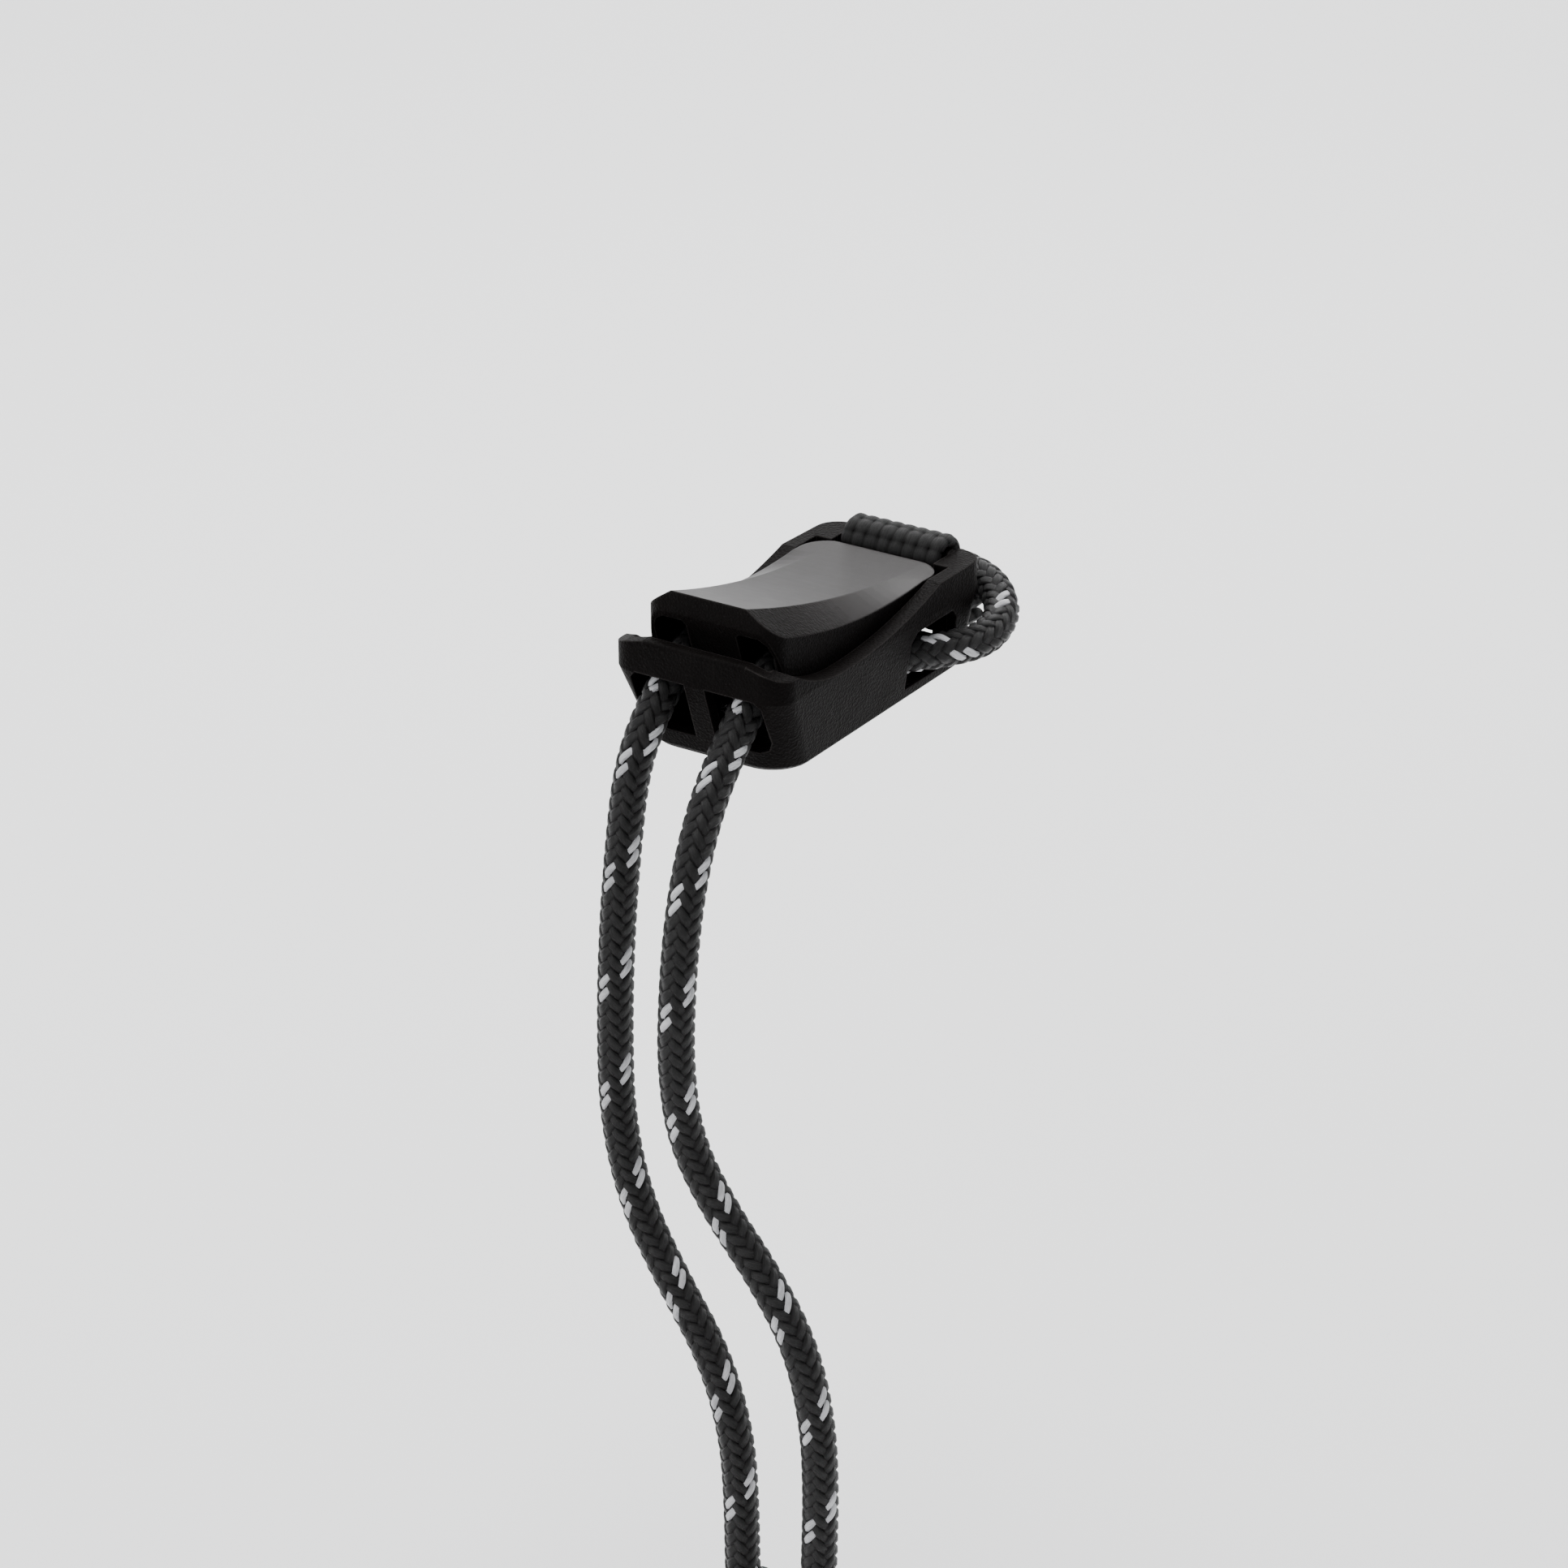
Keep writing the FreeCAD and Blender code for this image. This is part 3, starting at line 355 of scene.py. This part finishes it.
def line_of(route):
    """Points along the route's NURBS line, from a curve object with no bevel."""
    curve = bpy.data.curves.new("route", "CURVE")
    curve.dimensions = "3D"
    spline = curve.splines.new("NURBS")
    spline.points.add(len(route) - 1)
    for point, (across, behind, height) in zip(spline.points, route):
        point.co = (across * MM, LIP_Y + behind * MM, height * MM, 1)
    spline.order_u = 3
    spline.use_endpoint_u = True
    curve.resolution_u = 24
    holder = bpy.data.objects.new("route", curve)
    mesh = bpy.data.meshes.new_from_object(holder)
    points = np.array([tuple(vertex.co) for vertex in mesh.vertices])
    bpy.data.meshes.remove(mesh)
    bpy.data.objects.remove(holder)
    return points


def resampled(points, step):
    """The same line at even steps, and each point's distance along it."""
    runs = np.linalg.norm(np.diff(points, axis=0), axis=1)
    at = np.concatenate([[0], np.cumsum(runs)])
    count = max(2, int(round(at[-1] / step)) + 1)
    along = np.linspace(0, at[-1], count)
    return np.stack([np.interp(along, at, points[:, axis]) for axis in range(3)], axis=1), along


def frames(points):
    """Tangent and two normals that don't twist along the line."""
    tangents = np.gradient(points, axis=0)
    tangents /= np.linalg.norm(tangents, axis=1)[:, None]
    first = np.cross(tangents[0], (1.0, 0.0, 0.0))
    if np.linalg.norm(first) < 0.2:
        first = np.cross(tangents[0], (0.0, 1.0, 0.0))
    normals = [first / np.linalg.norm(first)]
    for tangent in tangents[1:]:
        carried = normals[-1] - tangent * normals[-1].dot(tangent)
        normals.append(carried / np.linalg.norm(carried))
    normals = np.array(normals)
    return tangents, normals, np.cross(tangents, normals)


def tube_faces(first, ring, count):
    """Quads of a tube of ring rows, each of count vertices along its length, from vertex first on."""
    for n in range(ring):
        here, there = first + n * count, first + (n + 1) % ring * count
        for k in range(count - 1):
            yield (here + k, here + k + 1, there + k + 1, there + k)


def turned_over(face):
    """The same face seen from its other side, from the same first corner."""
    return face[:1] + face[:0:-1]


def braid(name, points, radius_at=None):
    """Sixteen-strand braid round a line: strands run both ways and pass over and under in columns."""
    line, along = resampled(points, BRAID_STEP)
    count = len(line)
    tangents, normals, sides = frames(line)
    spacing = 2 * math.pi / STRANDS_EACH_WAY
    lean = math.atan(2 * math.pi * CORD_RADIUS / BRAID_PITCH)
    corner = np.linspace(0, 2 * math.pi, STRAND_CORNERS, endpoint=False)
    scale = np.ones(count) if radius_at is None else np.array([radius_at(s) for s in along / along[-1]])
    vertices, faces, tones, strand, heights = [], [], [], [], []
    for number in range(STRANDS_EACH_WAY * 2):
        way = 1 if number < STRANDS_EACH_WAY else -1
        angle = (number % STRANDS_EACH_WAY) * spacing + way * 2 * math.pi * along / BRAID_PITCH
        rise = way * np.cos(math.pi * angle / spacing - math.pi / 4)
        reach = (CORD_RADIUS - STRAND_HALF_THICKNESS - STRAND_RISE * (1 - rise)) * scale
        outward = normals * np.cos(angle)[:, None] + sides * np.sin(angle)[:, None]
        around = -normals * np.sin(angle)[:, None] + sides * np.cos(angle)[:, None]
        centre = line + outward * reach[:, None]
        across = around * math.cos(lean) - tangents * (way * math.sin(lean))
        bright = number in REFLECTIVE_STRANDS
        half_width = STRAND_HALF_WIDTH * (REFLECTIVE_SLIMMER if bright else 1)
        first = len(vertices)
        for turn in corner:
            flat = across * (math.cos(turn) * half_width) * scale[:, None]
            thick = outward * (math.sin(turn) * STRAND_HALF_THICKNESS)
            vertices.extend(centre + flat + thick)
            heights.extend(0.5 + 0.35 * rise + 0.3 * math.sin(turn))
            strand.extend(np.stack([
                along / STRAND_HALF_WIDTH,
                np.full(count, math.cos(turn)),
                np.full(count, number * STRAND_APART),
            ], axis=1))
        faces.extend(tube_faces(first, STRAND_CORNERS, count))
        tones.extend([int(bright)] * (STRAND_CORNERS * (count - 1)))
    return new_object(name, vertices, faces, [BLACK_YARN, REFLECTIVE_YARN], tones, strand, heights)


def finish_piece(piece, slot, *stands_for):
    """The piece's slot, which is not used, and the CAD nodes it stands for, which are hidden; every piece
    made here rides on the base.
    """
    if stands_for:
        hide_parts(*stands_for)
    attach(piece, "base")


# ---------------------------------------------------------------------------------------------
# Cord


# Stopper knot, in millimetres: its coil's turns, radius and half height, and where the cord bends in.
KNOT_TURNS = 1.5
KNOT_COIL_RADIUS = 1.75
KNOT_COIL_HALF = 1.55
KNOT_STEPS = 12
KNOT_BEND = (0.35, 0.2, 0.9)

# Sealed end: how much the cord narrows, and how high its end and the middle of the melted cap are.
TIP_TAPER = 0.16
BRAID_END = 1.0 * MM
CAP_MIDDLE = 0.95 * MM
CAP_RADIUS = 1.28 * MM
CAP_HALF = 0.92 * MM
CAP_LUMP = 0.05


def knot_line(centre, half_height):
    """Tight overhand stopper: in at the top, one and a half turns round itself, out at the bottom."""
    across, behind, drop = KNOT_BEND
    route = [(0, 0, half_height), (across, behind, half_height - drop)]
    for n in range(KNOT_STEPS + 1):
        share = n / KNOT_STEPS
        angle = 2 * math.pi * KNOT_TURNS * share
        route.append((KNOT_COIL_RADIUS * math.cos(angle), KNOT_COIL_RADIUS * math.sin(angle),
                      KNOT_COIL_HALF * (1 - 2 * share)))
    route += [(-across, -behind, drop - half_height), (0, 0, -half_height)]
    start = (centre.x / MM, (centre.y - LIP_Y) / MM, centre.z / MM)
    return line_of([(start[0] + x, start[1] + y, start[2] + z) for x, y, z in route])


def stopper(side):
    """Knot and sealed tip at one tail's end."""
    low, high = (Vector(corner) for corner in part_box("knot_" + side))
    centre = (low + high) / 2
    line = knot_line(centre, (high.z - low.z) / 2 / MM)
    knot = braid("stopper_knot_" + side, line)
    finish_piece(knot, "braided_cord", "knot_" + side)
    tip_low, tip_high = (Vector(corner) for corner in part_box("tip_" + side))
    middle = (tip_low + tip_high) / 2
    ends = np.array([(middle.x, middle.y, tip_high.z), (middle.x, middle.y, tip_low.z + BRAID_END)])
    tip = braid("cord_end_" + side, ends, lambda share: 1.0 - TIP_TAPER * share ** 2)
    finish_piece(tip, "sealed_tip", "tip_" + side)
    cap = melted_cap("melted_end_" + side, middle.x, middle.y, tip_low.z)
    finish_piece(cap, "sealed_tip")
    return [knot, tip, cap]


def melted_cap(name, x, y, bottom):
    """Lumpy rounded plug at the very end of the cord."""
    mesh = bpy.data.meshes.new(name)
    shape = bmesh.new()
    bmesh.ops.create_icosphere(shape, subdivisions=4, radius=1.0)
    for vertex in shape.verts:
        place = vertex.co.copy()
        wave = math.sin(5.1 * place.x + 2) * math.sin(4.3 * place.y + 1) * math.cos(3.7 * place.z)
        lump = 1 + CAP_LUMP * wave
        vertex.co = Vector((x + place.x * CAP_RADIUS * lump, y + place.y * CAP_RADIUS * lump,
                            bottom + CAP_MIDDLE + place.z * CAP_HALF * lump))
    shape.to_mesh(mesh)
    shape.free()
    mesh.materials.append(MELTED_END)
    mesh.polygons.foreach_set("use_smooth", [True] * len(mesh.polygons))
    piece = bpy.data.objects.new(name, mesh)
    bpy.context.scene.collection.objects.link(piece)
    return piece


def tail(side, route):
    """One hanging end of the drawcord, down to its knot and sealed tip."""
    line = line_of(route)
    piece = braid("drawcord_tail_" + side, line)
    finish_piece(piece, "braided_cord", "tail_" + side)
    pieces = stopper(side)


def loop():
    """The drawcord behind the lock, from one side window round to the other."""
    route = LOOP_RIGHT_HALF + [LOOP_MIDDLE] + mirrored(LOOP_RIGHT_HALF)[::-1]
    line = line_of(route)
    piece = braid("drawcord_loop", line)
    finish_piece(piece, "braided_cord", "cord_loop")


def inner_cords():
    """The two runs inside the tray."""
    for side, route in (("right", INNER_ROUTE), ("left", mirrored(INNER_ROUTE))):
        piece = braid("drawcord_inside_" + side, line_of(route))
        finish_piece(piece, "braided_cord", "inner_" + side)
        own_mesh(piece)


tail("right", TAIL_RIGHT_ROUTE)
tail("left", TAIL_LEFT_ROUTE)
loop()
inner_cords()


# ---------------------------------------------------------------------------------------------
# Lock


def paint(node, material):
    """One material over a whole CAD node."""
    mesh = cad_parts[node].data
    mesh.materials.clear()
    mesh.materials.append(material)
    mesh.polygons.foreach_set("material_index", [0] * len(mesh.polygons))


paint("base_housing", HOUSING_PLASTIC)
paint("thumb_lever", LEVER_PLASTIC)
paint("hinge_pin", PIN_STEEL)


SPRING_WIRE_RADIUS = 0.2 * MM
SPRING_TURNS = 6
SPRING_CLOSED = 0.75  # flat turns at each end
SPRING_STEPS = 28  # points in each turn
SPRING_CORNERS = 8


def return_spring():
    """Turns of wire with closed ends, between the bottom and top of the CAD spring's box."""
    low, high = (Vector(corner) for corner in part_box("return_spring"))
    wire = SPRING_WIRE_RADIUS
    radius = (high.x - low.x) / 2 - wire
    middle = (low + high) / 2
    turns = SPRING_TURNS + 2 * SPRING_CLOSED
    points = []
    for n in range(int(turns * SPRING_STEPS) + 1):
        share = n / (turns * SPRING_STEPS)
        rise = min(max((share * turns - SPRING_CLOSED) / SPRING_TURNS, 0), 1)
        angle = 2 * math.pi * turns * share
        points.append((middle.x + radius * math.cos(angle), middle.y + radius * math.sin(angle),
                       low.z + wire + (high.z - low.z - 2 * wire) * rise))
    points = np.array(points)
    _, normals, sides = frames(points)
    vertices = []
    for n in range(SPRING_CORNERS):
        turn = 2 * math.pi * n / SPRING_CORNERS
        vertices.extend(points + (normals * math.cos(turn) + sides * math.sin(turn)) * wire)
    faces = [turned_over(face) for face in tube_faces(0, SPRING_CORNERS, len(points))]
    piece = new_object("coil_spring", vertices, faces, [SPRING_STEEL])
    finish_piece(piece, "spring_steel", "return_spring")
    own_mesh(piece)


return_spring()

# Tape: thickness, bar, spacing of its yarns and how far they rise; the rest is read from the CAD node.
TAPE_THICKNESS = 1.1 * MM
TAPE_LAYER_GAP = 0.06 * MM
TAPE_GRID = 0.16 * MM
TAPE_EDGE_ROUND = 0.45 * MM
BAR_RADIUS = 0.9 * MM
BAR_GAP = 0.1 * MM
YARN_PITCH = 1.15 * MM
YARN_RISE = 0.24 * MM

# How far before and above the bend's corners the tape leaves the straight.
UNDER_BEND = (0.6 * MM, 1.9 * MM)
TOP_BEND = (1.6 * MM, 1.5 * MM)
BAR_STEPS = 8

# The fibre texture's scale along and across the tape, and its shift from one face to the other.
FIBRES_ALONG, FIBRES_ACROSS, FACE_APART = 900, 2600, 4.0


def tape_line(low, high):
    """Middle of the tape in the YZ plane: under layer, round the bar, top layer."""
    ring = BAR_RADIUS + BAR_GAP + TAPE_THICKNESS / 2
    half = TAPE_THICKNESS / 2
    bar_y, bar_z = low.y + ring + half, high.z - ring - half
    bottom = low.z + half
    top = bottom + TAPE_THICKNESS + TAPE_LAYER_GAP
    corners = [(high.y, bottom), (bar_y + UNDER_BEND[0], bottom)]
    corners += [(bar_y - ring, bottom + UNDER_BEND[1]), (bar_y - ring, bar_z)]
    for n in range(1, BAR_STEPS):
        turn = math.pi * (1 - n / BAR_STEPS)
        corners.append((bar_y + ring * math.cos(turn), bar_z + ring * math.sin(turn)))
    corners += [(bar_y + ring, bar_z), (bar_y + ring, top + TOP_BEND[1])]
    corners += [(bar_y + ring + TOP_BEND[0], top), (high.y, top)]
    return line_of([(0, (y - LIP_Y) / MM, z / MM) for y, z in corners])


def weave(across, along):
    """Height of a plain weave at a place on the tape, from 0 to 1."""
    column, row = across / YARN_PITCH, along / YARN_PITCH
    warp = math.sqrt(max(0, 1 - (2 * (column % 1) - 1) ** 2))
    weft = math.sqrt(max(0, 1 - (2 * (row % 1) - 1) ** 2))
    over = 1 if (math.floor(column) + math.floor(row)) % 2 else -1
    lift = math.sin(math.pi * (row % 1)) * over
    cross = -math.sin(math.pi * (column % 1)) * over
    return max(0.55 * warp + 0.45 * lift * warp, 0.55 * weft + 0.45 * cross * weft)


def slab_faces(rows, columns):
    """Closed slab: an upper and a lower grid of vertices, and the four edges between them."""
    stride = columns + 1
    other = rows * stride
    faces = []
    for layer in range(2):
        for row in range(rows - 1):
            for column in range(columns):
                a = layer * other + row * stride + column
                quad = (a, a + 1, a + 1 + stride, a + stride)
                faces.append(quad if layer else quad[::-1])
    for row in range(rows - 1):
        for column in (0, columns):
            a = row * stride + column
            quad = (a, a + stride, a + stride + other, a + other)
            faces.append(quad if column else quad[::-1])
    for column in range(columns):
        for row in (0, rows - 1):
            a = row * stride + column
            quad = (a, a + 1, a + 1 + other, a + other)
            faces.append(quad[::-1] if row else quad)
    return faces


def webbing():
    """Folded woven tape with thick edges, its ends lying together behind the tray."""
    low, high = (Vector(corner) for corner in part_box("webbing_anchor"))
    line, along = resampled(tape_line(low, high), TAPE_GRID)
    tangents = np.gradient(line, axis=0)
    tangents /= np.linalg.norm(tangents, axis=1)[:, None]
    normals = np.cross(tangents, (1.0, 0.0, 0.0))
    width = high.x - low.x
    columns = int(width / TAPE_GRID)
    vertices, strand, heights = [], [], []
    for side in (1, -1):
        for s, (centre, normal) in enumerate(zip(line, normals)):
            for c in range(columns + 1):
                share = c / columns
                across = share * width
                edge = min(share, 1 - share) * width
                rounding = min(1, edge / TAPE_EDGE_ROUND)
                thickness = (TAPE_THICKNESS / 2 - YARN_RISE) * math.sqrt(1 - (1 - rounding) ** 2 * 0.999)
                height = weave(across, along[s])
                proud = thickness + YARN_RISE * height * rounding
                heights.append(height)
                place = centre + normal * (side * proud)
                vertices.append((low.x + across, place[1], place[2]))
                strand.append((along[s] * FIBRES_ALONG, across * FIBRES_ACROSS, side * FACE_APART))
    faces = slab_faces(len(line), columns)
    piece = new_object("woven_tape", vertices, faces, [TAPE_YARN], None, strand, heights)
    finish_piece(piece, "webbing", "webbing_anchor")


THREAD_RADIUS = 0.11 * MM
THREAD_CORNERS = 6
THREAD_STEP = 0.2 * MM
STITCHES = 34


def stitches():
    """Dense zigzag of thread on both faces of the tape."""
    low, high = (Vector(corner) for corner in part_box("bar_tack"))
    thread = THREAD_RADIUS
    vertices, faces, strand = [], [], []
    for height in (low.z + thread, high.z - thread):
        zigzag = []
        for n in range(STITCHES + 1):
            x = low.x + thread + (high.x - low.x - 2 * thread) * n / STITCHES
            y = low.y + thread if n % 2 else high.y - thread
            zigzag.append((x, y, height))
        line, along = resampled(np.array(zigzag), THREAD_STEP)
        count = len(line)
        _, normals, sides = frames(line)
        first = len(vertices)
        for n in range(THREAD_CORNERS):
            turn = 2 * math.pi * n / THREAD_CORNERS
            vertices.extend(line + (normals * math.cos(turn) + sides * math.sin(turn)) * thread)
            strand.extend(np.stack([along / thread, np.full(count, float(n)), np.zeros(count)], axis=1))
        faces.extend(tube_faces(first, THREAD_CORNERS, count))
    piece = new_object("zigzag_tack", vertices, faces, [BLACK_YARN], None, strand, [1.0] * len(vertices))
    finish_piece(piece, "thread", "bar_tack")


webbing()
stitches()


# ---------------------------------------------------------------------------------------------
# Stage, lights and camera

# Camera: the photograph's direction and distance, aimed beside the middle of the lip.
CAMERA_TURN = math.radians(33.5)
CAMERA_RISE = math.radians(24.5)
CAMERA_DISTANCE = 350 * MM
CAMERA_LENS = 108.9
SENSOR_WIDTH = 36
AIM_FROM_LIP = Vector((7.79 * MM, 0.39 * MM, -8.72 * MM))

# Stage, in metres from the part: the floor's front and back edges, its sweep up, and its size.
FLOOR_FRONT, FLOOR_BACK = -0.9, 0.35
SWEEP_RADIUS, SWEEP_STEPS = 0.3, 12
WALL_TOP = 1.3
STAGE_HALF_WIDTH = 1.6
FLOOR_GAP = 2 * MM


def stage():
    """Pale floor under the hanging cords, curving up into a backdrop behind."""
    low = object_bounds()[0][2] - FLOOR_GAP
    back = Vector((-math.sin(CAMERA_TURN), math.cos(CAMERA_TURN)))
    side = Vector((back.y, -back.x))
    profile = [(FLOOR_FRONT, 0.0), (FLOOR_BACK, 0.0)]
    for n in range(1, SWEEP_STEPS + 1):
        turn = math.pi / 2 * n / SWEEP_STEPS
        profile.append((FLOOR_BACK + SWEEP_RADIUS * math.sin(turn), SWEEP_RADIUS * (1 - math.cos(turn))))
    profile.append((FLOOR_BACK + SWEEP_RADIUS, WALL_TOP))
    vertices, faces = [], []
    for reach, height in profile:
        for half in (-STAGE_HALF_WIDTH, STAGE_HALF_WIDTH):
            vertices.append((back.x * reach + side.x * half, back.y * reach + side.y * half, low + height))
    for n in range(len(profile) - 1):
        faces.append((2 * n, 2 * n + 1, 2 * n + 3, 2 * n + 2))
    m = Nodes("pale_floor")
    m.set("Base Color", m.ramp(m.noise(4.0), (0.3, 0.83), (0.7, 0.85)))
    m.set("Roughness", 0.9)
    new_object("backdrop", vertices, faces, [m.material])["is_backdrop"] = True


def light(name, place, aim, size, power):
    """Soft rectangular lamp: place and aim in metres, power in watts."""
    lamp = bpy.data.lights.new(name, "AREA")
    lamp.shape = "RECTANGLE"
    lamp.size, lamp.size_y = size
    lamp.energy = power
    holder = bpy.data.objects.new(name, lamp)
    holder.location = place
    holder.rotation_euler = (Vector(aim) - Vector(place)).to_track_quat("-Z", "Y").to_euler()
    bpy.context.scene.collection.objects.link(holder)


def camera():
    """Camera at the photograph's viewing angle."""
    lip = Vector((0, LIP_Y, HOUSING_HIGH[2]))
    aim = lip + AIM_FROM_LIP
    level = math.cos(CAMERA_RISE)
    away = Vector((math.sin(CAMERA_TURN) * level, -math.cos(CAMERA_TURN) * level, math.sin(CAMERA_RISE)))
    data = bpy.data.cameras.new("camera")
    data.lens = CAMERA_LENS
    data.sensor_width = SENSOR_WIDTH
    data.clip_start = 0.01
    holder = bpy.data.objects.new("camera", data)
    holder.location = aim + away * CAMERA_DISTANCE
    holder.rotation_euler = (-away).to_track_quat("-Z", "Y").to_euler()
    bpy.context.scene.collection.objects.link(holder)
    bpy.context.scene.camera = holder


MIDDLE = (0.0, 0.0, 0.0)
OVER_FLOOR = (-0.1, 0.15)

stage()
light("window", (-0.16, 0.38, 0.40), MIDDLE, (0.3, 0.3), 2.4)
light("overhead", (*OVER_FLOOR, 0.62), (*OVER_FLOOR, 0.0), (0.5, 0.5), 6.5)
light("fill", (-0.42, -0.3, 0.3), MIDDLE, (0.4, 0.4), 2.0)
light("front", (0.12, -0.5, 0.26), (0, 0, -0.03), (0.3, 0.4), 0.9)
world = bpy.data.worlds.new("studio")
world.use_nodes = True
background = world.node_tree.nodes["Background"]
background.inputs["Color"].default_value = (0.9, 0.92, 0.95, 1)
background.inputs["Strength"].default_value = 0.62
bpy.context.scene.world = world
camera()
